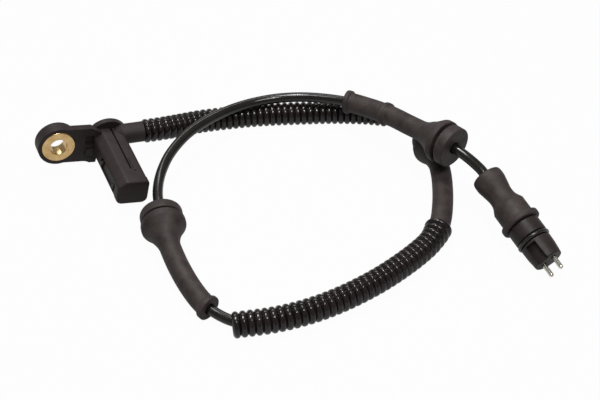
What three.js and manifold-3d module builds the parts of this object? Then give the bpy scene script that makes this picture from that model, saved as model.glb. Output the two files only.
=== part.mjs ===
// Wheel speed sensor with its moulded head, bush, corrugated conduits, cable grommets and round two pin plug.
// Millimetres, +Z up. The harness lies loose on the plane z = 0, as it comes to rest on a bench.
import * as THREE from 'three';
import { mergeVertices } from 'three/addons/utils/BufferGeometryUtils.js';
import Module from 'manifold-3d';

const wasm = await Module();
wasm.setup();

// Running clearance between pieces that seat on each other
const gap = 0.3;

// Cable
const cableRadius = 2.4;
const cableSides = 8;
const cableSteps = 74;
// Bare lengths of cable between the pieces that it carries
const bareOne = 32;
const bareTwo = 12;
const bareThree = 143.8;
const coreRadius = 0.75;
const coreSpacing = 2.2;

// Sensor head: mounting ear and bush
const bushHoleRadius = 4;
const bushRadius = 8;
const bushProud = 0.25;
const bossRadius = 9.8;
const bossThickness = 6.2;
const webThickness = 3.6;
const webHalf = 9.3;
const webFootDepth = 1;
const earPitch = 24.2;
const headRoll = THREE.MathUtils.degToRad(12.5);

// Sensor head: flange disc, tower and neck
const flangeRadius = 10.4;
const flangeThickness = 2.9;
const flangeShift = 0.9;
const towerLength = 41.8;
const towerLeft = 7.4;
const towerRight = 7.3;
const towerTop = 6.7;
const towerBottom = 5.5;
const ridgeWidth = 4.1;
const ridgeHeight = 3.1;
const towerTopRound = 2.3;
const towerFootRound = 2.8;
const capThickness = 4.2;
const capProud = 0.15;
const capChamfer = 1.1;
const capStepDepth = 0.4;
const capStepHeight = 0.6;
const neckRadius = 4.9;
const neckLength = 17.2;
const neckDepth = 4.9;
const neckLift = 3.55;
const neckRootRadius = 3.2;
const neckRootStart = 3.4;
const neckRootEnd = 6.4;
const neckTurn = THREE.MathUtils.degToRad(5.1);
const spigotLength = 6.75;
const cableGrip = 8;
const slotWidth = 1.1;
const slotDepth = 0.6;
const slotPlace = 1.2;
const slotEndMargin = 6.2;
const topRibWidth = 0.8;
const topRibHeight = 0.35;
const topRibLength = 9;
const topRibPlace = 2.9;
const panelDepth = 0.8;
const panelFront = -40.6;
const panelBack = -19;
const panelBottom = -3.3;
const panelTop = 2.9;
const panelRound = 2.6;
const pipRadius = 1;
const pipInset = 1.9;

// Sensing insert inside the head
const cavityRadius = 4.9;
const cavityLift = 0.4;
const cavityBack = 2.6;
const poleRadius = 2;
const poleTip = 1;
const poleHeadRadius = 3.6;
const poleHeadThickness = 1.5;
const bobbinWall = 0.7;
const bobbinFlange = 1;
const bobbinLength = 12.5;
const windingRadius = 4.2;
const magnetRadius = 3.6;
const magnetLength = 7.5;
const terminalWidth = 1.2;
const terminalThickness = 0.6;
const terminalBackDepth = 8;
const insertSides = 14;

// Corrugated conduit
const conduitRadius = 5.7;
const conduitRootRadius = 4.6;
const conduitBore = 4.25;
const conduitPitch = 3.1;
const conduitSides = 10;
const conduitOneLength = 124;
const conduitTwoLength = 113;
const conduitTwoStraight = 10;
const conduitFlare = 0.7;
const flareLength = 9;
const slitWidth = 1.4;
const slitAngle = THREE.MathUtils.degToRad(-35);

// Rubber grommets, sizes measured along the cable from the disc's open face
const grommetDiscRadius = 9.7;
const grommetDiscThickness = 4.6;
const grommetGrooveRadius = 8.3;
const grommetGrooveWidth = 1.4;
const grommetRimRadius = 10.2;
const grommetRimWidth = 2.8;
const grommetConeLength = 12.5;
const grommetTubeRadius = 4.8;
const grommetEndRadius = 5.7;
const grommetEndWidth = 2.2;
const grommetInsert = 7;
const grommetLength = 60.5;
const longGrommetLength = 69;
const midRingFromEnd = 22;
const midRingWidth = 2.2;
const midRingHeight = 0.8;
const insertRadius = conduitBore + conduitFlare - 2 * gap;
const insertEndRadius = conduitBore - 1.5 * gap;
const grommetSides = 14;

// Round plug, sizes measured along its axis from the cable end of the boot
const bootBulbRadius = 7.3;
const bootBulbCentre = 5.3;
const bootNeckRadius = 5.85;
const bootNeckAt = 12.5;
const bootShoulderRadius = 7.7;
const bootShoulderAt = 19.2;
const bootRingRadius = 9.3;
const bootRingWidth = 2.8;
const bootLength = 29.8;
const bootWall = 1.8;
const collarRadius = 7.65;
const collarLength = 7.2;
const sealRadius = 0.95;
const sealOuterRadius = 8;
const sealSides = 8;
const bootGrip = 10.5;
const bootFunnel = 0.8;
const bootFunnelDepth = 4;
const keyShoulder = 1.2;
const noseRadius = 7.3;
const noseTipRadius = 6.6;
const noseLength = 10.3;
const spigotDepth = 7.2;
const keyWidth = 5.4;
const keyDepth = 1.5;
const keyAngle = THREE.MathUtils.degToRad(38);
const pinRadius = 1.05;
const pinSpacing = 5.7;
const pinReach = 6.5;
const crimpRadius = 1.6;
const crimpLength = 6;
const plugSides = 20;

const group = new THREE.Group();
const headGroup = new THREE.Group();
group.add(headGroup);

// Materials
function finish(color, roughness, metalness) {
  return () => new THREE.MeshStandardMaterial({ color, roughness, metalness });
}
const moulding = finish(0x38322f, 0.6, 0);
const rubber = finish(0x3c3634, 0.75, 0);
const glossBlack = finish(0x141210, 0.3, 0);
const cableBlack = finish(0x131211, 0.25, 0);
const brass = finish(0xb89a5c, 0.35, 1);
const plated = finish(0xc9bfae, 0.25, 1);
const iron = finish(0x6d6a66, 0.45, 1);
const copper = finish(0xa8602f, 0.4, 1);
const nylon = finish(0x8c8474, 0.6, 0);
const coreSkin = finish(0x5b5048, 0.5, 0);

function place(parent, name, geometry, material) {
  const mesh = new THREE.Mesh(geometry, material());
  mesh.name = name;
  parent.add(mesh);
  return mesh;
}

// Solids and booleans
function closed(geometry) {
  const bare = geometry.index ? geometry.toNonIndexed() : geometry.clone();
  bare.deleteAttribute('normal');
  bare.deleteAttribute('uv');
  return mergeVertices(bare, 1e-4);
}

function toSolid(geometry) {
  const merged = closed(geometry);
  return new wasm.Manifold(new wasm.Mesh({
    numProp: 3,
    vertProperties: new Float32Array(merged.attributes.position.array),
    triVerts: new Uint32Array(merged.index.array),
  }));
}

function toGeometry(solid) {
  const mesh = solid.getMesh();
  const geometry = new THREE.BufferGeometry();
  geometry.setAttribute('position', new THREE.BufferAttribute(new Float32Array(mesh.vertProperties), 3));
  geometry.setIndex(new THREE.BufferAttribute(new Uint32Array(mesh.triVerts), 1));
  return geometry;
}

function joined(...geometries) {
  return geometries.map(toSolid).reduce((sum, solid) => sum.add(solid));
}

function cut(solid, ...geometries) {
  return geometries.map(toSolid).reduce((rest, tool) => rest.subtract(tool), solid);
}

// A cylinder along Y from y0 back to y1, with its axis at x, z
function rodY(radius, y0, y1, x = 0, z = 0, sides = 32) {
  return new THREE.CylinderGeometry(radius, radius, y1 - y0, sides).translate(x, (y0 + y1) / 2, z);
}

// A cylinder or cone along X from x0 to x1, with its axis at y, z
function rodX(radius, x0, x1, y = 0, z = 0, sides = 24, startRadius = radius) {
  return new THREE.CylinderGeometry(radius, startRadius, x1 - x0, sides)
    .rotateZ(-Math.PI / 2).translate((x0 + x1) / 2, y, z);
}

// A turned piece along Y from a closed list of [radius, y] pairs
function turned(outline, sides) {
  const points = outline.map(([radius, y]) => new THREE.Vector2(radius, y));
  return new THREE.LatheGeometry([...points, points[0]], sides);
}

// A shape drawn in x, z and extruded from y0 back to y1
function slabY(shape, y0, y1, bevel = 0) {
  const geometry = new THREE.ExtrudeGeometry(shape, {
    depth: y1 - y0 - 2 * bevel,
    bevelEnabled: bevel > 0,
    bevelSize: bevel,
    bevelThickness: bevel,
    bevelOffset: -bevel,
    bevelSegments: 1,
    curveSegments: 5,
  });
  return geometry.rotateX(Math.PI / 2).translate(0, y1 - bevel, 0);
}

// Sensor head, in its own frame: Y = 0 is the back face, the tower points to -Y, the neck to +X
const towerFront = -towerLength;
const capFront = towerFront - capThickness;
const cavityFront = towerFront - 1;
const spigotRadius = conduitBore - gap - 0.15;
const cableStart = neckLength - cableGrip;

// A point in the neck's own frame, given in the head's frame
function neckPoint(x, y = 0, z = 0) {
  return new THREE.Vector3(x, y - neckDepth, z + neckLift).applyAxisAngle(new THREE.Vector3(0, 1, 0), -neckTurn);
}

// A cylinder or cone along the neck
function neckRod(radius, from, to, sides, startRadius = radius) {
  return rodX(radius, from, to, -neckDepth, neckLift, sides, startRadius).rotateY(-neckTurn);
}

// The tower's section, with its sloped shoulder above the ear and rounds on the other corners
function towerShape(grow = 0) {
  const left = -towerLeft - grow;
  const right = towerRight + grow;
  const top = towerTop + grow;
  const bottom = -towerBottom - grow;
  const shape = new THREE.Shape();
  shape.moveTo(left + towerFootRound, bottom);
  shape.lineTo(right - towerFootRound, bottom);
  shape.absarc(right - towerFootRound, bottom + towerFootRound, towerFootRound, -Math.PI / 2, 0, false);
  shape.lineTo(right, top - towerTopRound);
  shape.absarc(right - towerTopRound, top - towerTopRound, towerTopRound, 0, Math.PI / 2, false);
  shape.lineTo(left + ridgeWidth, top);
  shape.lineTo(left, top - ridgeHeight);
  shape.lineTo(left, bottom + towerFootRound);
  shape.absarc(left + towerFootRound, bottom + towerFootRound, towerFootRound, Math.PI, 1.5 * Math.PI, false);
  return shape;
}

// The web between the ear and the tower, with its foot below and its corner closed against the tower's ridge
function webShape() {
  const foot = -webHalf - webFootDepth;
  const shape = new THREE.Shape();
  shape.moveTo(-earPitch, webHalf);
  shape.lineTo(-earPitch, -webHalf);
  shape.lineTo(-towerLeft - 4.4, -webHalf);
  shape.quadraticCurveTo(-towerLeft - 2.6, -webHalf, -towerLeft - 1, foot);
  shape.lineTo(-towerLeft + 2.2, foot);
  shape.lineTo(-towerLeft + 2.8, -towerBottom + 0.5);
  shape.lineTo(-towerLeft + ridgeWidth, towerTop - 0.5);
  shape.lineTo(-flangeRadius + 1.5, webHalf);
  return shape;
}

// The recessed panel on the ear's side of the tower, drawn in y, z
function panelShape() {
  const shape = new THREE.Shape();
  shape.moveTo(panelFront + panelRound, panelBottom);
  shape.lineTo(panelBack - panelRound, panelBottom);
  shape.absarc(panelBack - panelRound, panelBottom + panelRound, panelRound, -Math.PI / 2, 0, false);
  shape.absarc(panelBack - panelRound, panelTop - panelRound, panelRound, 0, Math.PI / 2, false);
  shape.lineTo(panelFront + panelRound, panelTop);
  shape.absarc(panelFront + panelRound, panelTop - panelRound, panelRound, Math.PI / 2, Math.PI, false);
  shape.absarc(panelFront + panelRound, panelBottom + panelRound, panelRound, Math.PI, 1.5 * Math.PI, false);
  return shape;
}

function panel() {
  const turn = new THREE.Matrix4().makeBasis(
    new THREE.Vector3(0, 1, 0),
    new THREE.Vector3(0, 0, 1),
    new THREE.Vector3(1, 0, 0),
  );
  return new THREE.ExtrudeGeometry(panelShape(), { depth: 2 * panelDepth, bevelEnabled: false, curveSegments: 4 })
    .applyMatrix4(turn).translate(-towerLeft - panelDepth, 0, 0);
}

function housing() {
  const topRib = new THREE.BoxGeometry(topRibWidth, topRibLength, 2 * topRibHeight)
    .translate(topRibPlace, towerFront + slotEndMargin + topRibLength / 2 - 1.5, towerTop);
  const body = joined(
    rodY(bossRadius, -bossThickness, 0, -earPitch, 0, 40),
    slabY(webShape(), -bossThickness, -bossThickness + webThickness),
    rodY(flangeRadius, -flangeThickness, 0, flangeShift, 0, 40),
    slabY(towerShape(), towerFront, 0),
    neckRod(neckRadius, neckRootStart, neckRootEnd, 28, neckRootRadius),
    neckRod(neckRadius, neckRootEnd, neckLength, 28),
    neckRod(spigotRadius, neckLength - 1, neckLength + spigotLength, 24),
    topRib,
  );
  const slotLength = towerLength - flangeThickness - slotEndMargin;
  const slot = new THREE.BoxGeometry(slotWidth, slotLength, 2 * slotDepth)
    .translate(slotPlace, -flangeThickness - slotLength / 2, towerTop);
  const pipMiddle = (panelTop + panelBottom) / 2;
  const pips = [panelBack - pipInset, panelFront + pipInset].map((y) => rodX(pipRadius, -towerLeft, 1 - towerLeft, y,
    pipMiddle, 12));
  const hollowed = cut(
    body,
    rodY(bushRadius + gap, -bossThickness - 1, 1, -earPitch, 0, 40),
    rodY(cavityRadius, cavityFront, -cavityBack, 0, cavityLift, 24),
    neckRod(coreSpacing / 2 + coreRadius + gap, 0, cableStart, 20),
    neckRod(cableRadius + gap, cableStart - gap, neckLength + spigotLength + 1, 20),
    slot,
    panel(),
  );
  return toGeometry(hollowed.add(joined(...pips)));
}

function bush() {
  const front = -bossThickness - bushProud;
  return turned([
    [bushHoleRadius, front + 0.5],
    [bushHoleRadius + 0.5, front],
    [bushRadius - 0.4, front],
    [bushRadius, front + 0.4],
    [bushRadius, bushProud - 0.4],
    [bushRadius - 0.4, bushProud],
    [bushHoleRadius + 0.5, bushProud],
    [bushHoleRadius, bushProud - 0.5],
  ], 32).translate(-earPitch, 0, 0);
}

function noseCap() {
  const plate = slabY(towerShape(capProud), capFront, towerFront - gap, capChamfer);
  const core = rodY(cavityRadius - gap, towerFront - 1, towerFront + 2, 0, cavityLift, 24);
  const step = new THREE.BoxGeometry(3 * towerRight, 2 * capStepDepth, 2 * towerTop)
    .translate(0, capFront, capStepHeight - towerTop);
  return toGeometry(cut(joined(plate, core), step));
}

// Stations of the insert along Y, from the cap backwards
const poleFront = towerFront + 2 + gap;
const bobbinFront = poleFront + poleTip;
const bobbinBack = bobbinFront + bobbinLength;
const poleBack = bobbinBack + gap + poleHeadThickness;
const magnetFront = poleBack + gap;
const terminalPlace = (cavityRadius + magnetRadius) / 2;
const coreSeat = terminalPlace - coreRadius / 2;

function polePiece() {
  return turned([
    [0, poleFront],
    [poleRadius, poleFront],
    [poleRadius, poleBack - poleHeadThickness],
    [poleHeadRadius, poleBack - poleHeadThickness],
    [poleHeadRadius, poleBack],
    [0, poleBack],
  ], insertSides);
}

function bobbin() {
  const inner = poleRadius + gap;
  const hub = inner + bobbinWall;
  const rim = cavityRadius - gap;
  return turned([
    [inner, bobbinFront],
    [rim, bobbinFront],
    [rim, bobbinFront + bobbinFlange],
    [hub, bobbinFront + bobbinFlange],
    [hub, bobbinBack - bobbinFlange],
    [rim, bobbinBack - bobbinFlange],
    [rim, bobbinBack],
    [inner, bobbinBack],
  ], insertSides);
}

function winding() {
  const inner = poleRadius + bobbinWall + 2 * gap;
  const front = bobbinFront + bobbinFlange + gap;
  const back = bobbinBack - bobbinFlange - gap;
  return turned([[inner, front], [windingRadius, front], [windingRadius, back], [inner, back]], insertSides);
}

function terminal(side) {
  const front = bobbinBack + gap;
  return new THREE.BoxGeometry(terminalWidth, -terminalBackDepth - front, terminalThickness)
    .translate(0, (front - terminalBackDepth) / 2, side * terminalPlace);
}

// A round section along a path of points
function wire(points, radius, steps, sides) {
  const section = new THREE.Shape();
  section.absarc(0, 0, radius, 0, 2 * Math.PI, false);
  const path = points instanceof THREE.Curve ? points : new THREE.CatmullRomCurve3(points, false, 'centripetal');
  return new THREE.ExtrudeGeometry(section, {
    steps,
    bevelEnabled: false,
    curveSegments: sides / 2,
    extrudePath: path,
  });
}

function headCore(side) {
  const start = cableStart - gap;
  const tip = -terminalBackDepth + gap;
  const seat = cavityLift + side * coreSeat;
  const entry = neckPoint(0.4 * start, 0, side * coreSpacing / 2);
  return wire([
    neckPoint(start, 0, side * coreSpacing / 2),
    neckPoint(0.7 * start, 0, side * coreSpacing / 2),
    entry,
    new THREE.Vector3(entry.x / 2, -neckDepth - 0.5, (entry.z + seat) / 2),
    new THREE.Vector3(0, tip + 1.2, seat),
    new THREE.Vector3(0, tip, seat),
  ], coreRadius, 12, 6);
}

const insertGroup = new THREE.Group();
insertGroup.position.z = cavityLift;
headGroup.add(insertGroup);

place(headGroup, 'sensor_housing', housing(), moulding);
place(headGroup, 'mounting_bush', bush(), brass);
place(headGroup, 'nose_cap', noseCap(), moulding);
place(insertGroup, 'pole_piece', polePiece(), iron);
place(insertGroup, 'coil_bobbin', bobbin(), nylon);
place(insertGroup, 'coil_winding', winding(), copper);
place(insertGroup, 'magnet', rodY(magnetRadius, magnetFront, magnetFront + magnetLength, 0, 0, insertSides), iron);
[-1, 1].forEach((side, index) => {
  place(insertGroup, `terminal_${index + 1}`, terminal(side), plated);
  place(headGroup, `head_core_${index + 1}`, headCore(side), coreSkin);
});

// The head lies on its flange, turned about its tower, with its footprint centred on the origin
const neckTilt = headRoll - neckTurn;
const leftReach = earPitch * Math.cos(headRoll) + bossRadius;
const rightReach = (neckLength + spigotLength) * Math.cos(neckTilt) + (neckLift + spigotRadius) * Math.sin(neckTilt);
headGroup.position.set((leftReach - rightReach) / 2, (-capFront - bushProud) / 2, flangeRadius);
headGroup.rotation.y = headRoll;
headGroup.updateMatrixWorld(true);

// Harness route, chosen by hand as it lies on the bench, from the neck to the plug's boot
const neckMouth = headGroup.localToWorld(neckPoint(neckLength));
const routePoints = [
  [32.6, 18.1, 10.3], [37.6, 18.9, 9.2], [44.2, 20.1, 7.8], [51.9, 20.8, 6.7], [59, 20.3, 6.1],
  [65.9, 19.1, 5.9], [75.6, 16.9, 5.9], [87.9, 13.3, 5.9], [100.6, 8.9, 5.9], [110.2, 5.5, 5.9],
  [119.4, 1.8, 5.9], [130.4, -3.4, 5.9], [139.6, -9.3, 6], [145, -15.5, 7.2], [148, -22.8, 8.9],
  [149.3, -30.6, 10], [148.5, -39.2, 10.3], [145.9, -47.8, 10.3], [143.7, -55.6, 9.6], [141.3, -63.5, 8.5],
  [138.1, -71.2, 7.5], [134, -79.4, 7.1], [128.6, -88.5, 6.8], [123.5, -94.8, 6.4], [117.4, -99.8, 6],
  [109.6, -104, 5.9], [99.4, -108.4, 5.9], [88.1, -112.4, 5.9], [77.2, -115.3, 5.9], [66.8, -117.3, 5.9],
  [57, -118.4, 5.9], [47.7, -118.6, 5.9], [38.7, -118, 5.9], [30.2, -116.6, 5.9], [24.6, -114.8, 5.7],
  [20, -111.3, 5.4], [16.3, -106.6, 5.4], [12.8, -100.5, 5.9], [11, -94.8, 6.4], [9.8, -88.2, 7],
  [9.1, -81.7, 7.6], [8.7, -74.1, 8.3], [8.7, -66.6, 9.1], [9.1, -59, 9.8], [10.2, -49.9, 10.5],
  [11.6, -41.3, 10.8], [13, -34, 10.9], [15, -26.5, 10.7], [18, -19.1, 10.7], [22.2, -11.9, 11.2],
  [27.6, -5.3, 12.4], [34.2, 0.2, 13.8], [40.8, 4.3, 14.9], [48.2, 7.8, 15.4], [56.6, 11.2, 15.3],
  [67.4, 14.6, 14.6], [78.8, 15.9, 14.1], [90.2, 14.4, 14.3], [101.1, 10, 15], [110.4, 3.6, 16],
  [119.4, -4.6, 17], [125.3, -12.7, 17.9], [129.6, -20.2, 19], [132.8, -28.4, 20.5], [135.6, -38.8, 22.6],
  [138.7, -49.2, 24.6], [141.8, -58.3, 26], [145.1, -67.1, 26.4], [147.5, -72.7, 25.6], [149.6, -77.4, 24.3],
];
const plugStart = new THREE.Vector3(151.7, -84.1, 22);
const plugTip = new THREE.Vector3(159.6, -131.2, 6.7);

// Plug frame: Y runs along the plug towards the pins, from the cable end of the boot
const plugAxis = plugTip.clone().sub(plugStart).normalize();
const plugGroup = new THREE.Group();
const plugUp = new THREE.Vector3(0, 0, 1).addScaledVector(plugAxis, -plugAxis.z).normalize();
const plugSide = plugAxis.clone().cross(plugUp);
plugGroup.matrix.makeBasis(plugSide, plugAxis, plugUp).setPosition(plugStart);
plugGroup.matrix.decompose(plugGroup.position, plugGroup.quaternion, plugGroup.scale);
plugGroup.updateMatrixWorld(true);
group.add(plugGroup);

const cableEnd = plugStart.clone().addScaledVector(plugAxis, bootGrip);
const route = new THREE.CatmullRomCurve3([
  headGroup.localToWorld(neckPoint(cableStart)),
  neckMouth,
  headGroup.localToWorld(neckPoint(neckLength + spigotLength)),
  ...routePoints.map(([x, y, z]) => new THREE.Vector3(x, y, z)),
  plugStart.clone().addScaledVector(plugAxis, -2.5),
  plugStart,
  plugStart.clone().addScaledVector(plugAxis, bootGrip / 2),
  cableEnd,
], false, 'centripetal');
route.arcLengthDivisions = 3000;
const routeLength = route.getLength();

// Distances along the route, measured from the neck's mouth
const mouthStation = neckLength - cableStart;

// The route's place and frame at a distance from the neck's mouth
function frameAt(station) {
  const share = THREE.MathUtils.clamp((mouthStation + station) / routeLength, 0, 1);
  const point = route.getPointAt(share);
  const along = route.getTangentAt(share);
  const side = along.clone().cross(new THREE.Vector3(0, 0, 1)).normalize();
  const rise = side.clone().cross(along);
  return { point, side, rise };
}

// The same frame, carried straight on beyond a station
function straightAfter(last) {
  return (station) => {
    const frame = frameAt(Math.min(station, last));
    const along = frame.rise.clone().cross(frame.side);
    frame.point.addScaledVector(along, Math.max(0, station - last));
    return frame;
  };
}

// Bends a piece turned about Y along the route, from a station onwards or backwards
function bend(geometry, station, direction, guide = frameAt) {
  const position = geometry.attributes.position;
  const frames = new Map();
  for (let i = 0; i < position.count; i += 1) {
    const y = position.getY(i);
    const key = y.toFixed(4);
    if (!frames.has(key)) frames.set(key, guide(station + direction * y));
    const { point, side, rise } = frames.get(key);
    const place3 = point.clone()
      .addScaledVector(side, direction * position.getX(i))
      .addScaledVector(rise, position.getZ(i));
    position.setXYZ(i, place3.x, place3.y, place3.z);
  }
  return geometry;
}

// Splits the straight runs of an outline, so that it can bend
function divided(outline, step) {
  const result = [outline[0]];
  outline.slice(1).forEach(([radius, y], index) => {
    const [lastRadius, lastY] = outline[index];
    const parts = Math.max(1, Math.round(Math.abs(y - lastY) / step));
    for (let part = 1; part <= parts; part += 1) {
      const share = part / parts;
      result.push([lastRadius + (radius - lastRadius) * share, lastY + (y - lastY) * share]);
    }
  });
  return result;
}

function grommet(length, { plainEnd = false, midRing = false } = {}) {
  const bore = cableRadius + gap;
  const groove = grommetDiscThickness + grommetGrooveWidth;
  const coneStart = groove + grommetRimWidth;
  const coneEnd = coneStart + grommetConeLength;
  const cone = [0, 0.18, 0.38, 0.6, 0.8, 1].map((share) => [
    grommetTubeRadius + (grommetRimRadius - grommetTubeRadius) * (1 - share) ** 1.7,
    coneStart + share * grommetConeLength,
  ]);
  const ring = midRing ? [
    [grommetTubeRadius, length - midRingFromEnd - midRingWidth],
    [grommetTubeRadius + midRingHeight, length - midRingFromEnd - 0.7 * midRingWidth],
    [grommetTubeRadius + midRingHeight, length - midRingFromEnd - 0.3 * midRingWidth],
    [grommetTubeRadius, length - midRingFromEnd],
  ] : [];
  const end = plainEnd ? [
    [grommetTubeRadius, length - grommetInsert - 1],
    [insertRadius, length - grommetInsert],
    [insertEndRadius, length],
  ] : [
    [grommetTubeRadius, length - grommetEndWidth - 0.6],
    [grommetEndRadius, length - grommetEndWidth],
    [grommetEndRadius, length - 0.5],
    [grommetEndRadius - 0.5, length],
  ];
  const outside = [
    [grommetDiscRadius - 0.7, 0],
    [grommetDiscRadius, 0.7],
    [grommetDiscRadius, grommetDiscThickness],
    [grommetGrooveRadius, grommetDiscThickness],
    [grommetGrooveRadius, groove],
    [grommetRimRadius, groove],
    ...cone,
    [grommetTubeRadius, coneEnd + 1],
    ...ring,
    ...end,
  ];
  return turned([...divided(outside, 5), ...boreLine(bore, length, 0)], grommetSides);
}

// Points along a straight bore, from one end to the other
function boreLine(radius, from, to) {
  const parts = Math.round(Math.abs(to - from) / 7);
  return Array.from({ length: parts + 1 }, (_, index) => [radius, from + (to - from) * index / parts]);
}

// A corrugated conduit from y = 0 to its length, with an optional flared mouth
function conduit(length, flare = 0) {
  const ribs = Math.round(length / conduitPitch);
  const pitch = length / ribs;
  const widened = (y) => flare * Math.max(0, 1 - y / flareLength);
  const outside = [];
  for (let rib = 0; rib < ribs; rib += 1) {
    const start = rib * pitch;
    outside.push(
      [conduitRootRadius + widened(start), start],
      [conduitRadius + widened(start), start + 0.5 * pitch],
    );
  }
  outside.push([conduitRootRadius, length]);
  const inside = boreLine(conduitBore, length, 0).map(([radius, y]) => [radius + widened(y), y]);
  return turned([...outside, ...inside], conduitSides);
}

// Stations of the pieces on the cable
const conduitOneEnd = conduitOneLength;
const grommetThreeDisc = conduitOneEnd + bareOne;
const conduitTwoStart = grommetThreeDisc + grommetLength;
const conduitTwoEnd = conduitTwoStart + conduitTwoLength;
const grommetOneEnd = conduitTwoEnd + bareTwo;
const grommetOneDisc = grommetOneEnd + grommetLength;
const grommetTwoEnd = grommetOneDisc + bareThree;
const grommetTwoDisc = grommetTwoEnd + longGrommetLength;

// The second conduit stays straight at its end, where the cable leaves through the slit that runs its whole length
function slitConduit() {
  const guide = straightAfter(conduitTwoEnd - conduitTwoStraight);
  const tube = bend(conduit(conduitTwoLength, conduitFlare), conduitTwoStart, 1, guide);
  const slices = Math.round(conduitTwoLength / conduitPitch / 2);
  const slit = new THREE.BoxGeometry(slitWidth, conduitTwoLength + 2, 2 * conduitRadius, 1, slices, 1)
    .translate(0, conduitTwoLength / 2, conduitRadius)
    .rotateY(slitAngle);
  const way = [-8, -5, -2, 1, 4, 7].map((shift) => frameAt(conduitTwoEnd + shift).point);
  return toGeometry(cut(toSolid(tube), bend(slit, conduitTwoStart, 1, guide), wire(way, cableRadius + gap, 8, 12)));
}

place(group, 'cable', wire(route, cableRadius, cableSteps, cableSides), cableBlack);
place(group, 'conduit_1', bend(conduit(conduitOneLength - gap), gap, 1), glossBlack);
place(group, 'grommet_3', bend(grommet(grommetLength + grommetInsert, { plainEnd: true }), grommetThreeDisc, 1), rubber);
place(group, 'conduit_2', slitConduit(), glossBlack);
place(group, 'grommet_1', bend(grommet(grommetLength), grommetOneDisc, -1), rubber);
place(group, 'grommet_2', bend(grommet(longGrommetLength, { midRing: true }), grommetTwoDisc, -1), rubber);

// Plug pieces, in the plug's frame
const collarStart = bootLength + gap;
const collarEnd = collarStart + collarLength;
const sealEnd = collarEnd + 2 * sealRadius + 2 * gap;
const noseEnd = sealEnd + noseLength;
const socketRadius = bootShoulderRadius - bootWall;
const spigotStart = collarStart - spigotDepth;
const crimpStart = spigotStart + 0.8;
const crimpEnd = crimpStart + crimpLength;
const sealCentre = sealOuterRadius - sealRadius;

function boot() {
  const bore = cableRadius + gap;
  const cavity = bootNeckRadius - bootWall;
  return turned([
    [bore + bootFunnel, 0],
    [bootBulbRadius - 1.9, 0],
    [bootBulbRadius - 0.8, 1],
    [bootBulbRadius - 0.15, 2.8],
    [bootBulbRadius, bootBulbCentre],
    [bootBulbRadius - 0.35, bootBulbCentre + 2.3],
    [bootNeckRadius + 0.45, bootNeckAt - 2.8],
    [bootNeckRadius, bootNeckAt],
    [bootNeckRadius + 0.15, bootShoulderAt - 3.6],
    [bootShoulderRadius - 0.8, bootShoulderAt - 1.4],
    [bootShoulderRadius, bootShoulderAt],
    [bootShoulderRadius, bootLength - bootRingWidth],
    [bootRingRadius - 0.5, bootLength - bootRingWidth],
    [bootRingRadius, bootLength - bootRingWidth + 0.6],
    [bootRingRadius, bootLength - 0.6],
    [bootRingRadius - 0.5, bootLength],
    [socketRadius, bootLength],
    [socketRadius, spigotStart - gap],
    [cavity, spigotStart - gap],
    [cavity, bootGrip + gap],
    [bore, bootGrip + gap],
    [bore, bootFunnelDepth],
  ], plugSides);
}

function pinPlace(side) {
  return [side * Math.sin(keyAngle) * pinSpacing / 2, -side * Math.cos(keyAngle) * pinSpacing / 2];
}

function plugBody() {
  const outline = [
    [0, spigotStart],
    [socketRadius - gap, spigotStart],
    [socketRadius - gap, collarStart],
    [collarRadius, collarStart],
    [collarRadius, collarEnd - 0.5],
    [collarRadius - 0.5, collarEnd],
    [sealCentre - sealRadius - gap, collarEnd],
    [sealCentre - sealRadius - gap, sealEnd],
    [noseRadius, sealEnd],
    [noseRadius - 0.1, sealEnd + 0.45 * noseLength],
    [noseTipRadius + 0.3, noseEnd - 1.6],
    [noseTipRadius - 0.5, noseEnd],
    [0, noseEnd],
  ];
  const key = new THREE.BoxGeometry(2 * keyDepth, noseLength, keyWidth)
    .translate(noseRadius, noseEnd - noseLength / 2 + keyShoulder, 0)
    .rotateY(-keyAngle);
  const holes = [-1, 1].flatMap((side) => [
    rodY(pinRadius + gap, spigotStart - 1, noseEnd + 1, ...pinPlace(side), 14),
    rodY(crimpRadius + gap, spigotStart - 1, crimpEnd + gap, ...pinPlace(side), 14),
  ]);
  return toGeometry(cut(toSolid(turned(outline, plugSides)), key, ...holes));
}

function sealRing() {
  const section = Array.from({ length: sealSides }, (_, index) => {
    const angle = index * 2 * Math.PI / sealSides;
    return [sealCentre + sealRadius * Math.cos(angle), (collarEnd + sealEnd) / 2 + sealRadius * Math.sin(angle)];
  });
  return turned(section, plugSides);
}

function pin(side) {
  const tip = noseEnd + pinReach;
  const [x, z] = pinPlace(side);
  return turned([
    [0, crimpStart],
    [crimpRadius, crimpStart],
    [crimpRadius, crimpEnd],
    [pinRadius, crimpEnd],
    [pinRadius, tip - 1.1],
    [0.8 * pinRadius, tip - 0.4],
    [0.4 * pinRadius, tip],
    [0, tip],
  ], 14).translate(x, 0, z);
}

function plugCore(side) {
  const [x, z] = pinPlace(side);
  const spread = coreSpacing / pinSpacing;
  const start = bootGrip + gap;
  const finishY = crimpStart - gap;
  return wire([
    new THREE.Vector3(x * spread, start, z * spread),
    new THREE.Vector3(x * spread, start + 2, z * spread),
    new THREE.Vector3(x * 0.9, finishY - 2.5, z * 0.9),
    new THREE.Vector3(x, finishY, z),
  ], coreRadius, 8, 6);
}

place(plugGroup, 'plug_boot', boot(), rubber);
place(plugGroup, 'plug_body', plugBody(), moulding);
place(plugGroup, 'plug_seal', sealRing(), glossBlack);
[-1, 1].forEach((side, index) => {
  place(plugGroup, `plug_pin_${index + 1}`, pin(side), plated);
  place(plugGroup, `plug_core_${index + 1}`, plugCore(side), coreSkin);
});

export default group;
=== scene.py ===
# A wheel speed sensor with its harness, as it looks where it lies. The scene is in metres, +Z up.
import math
import bmesh
import bpy
from mathutils import Matrix, Vector


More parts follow.
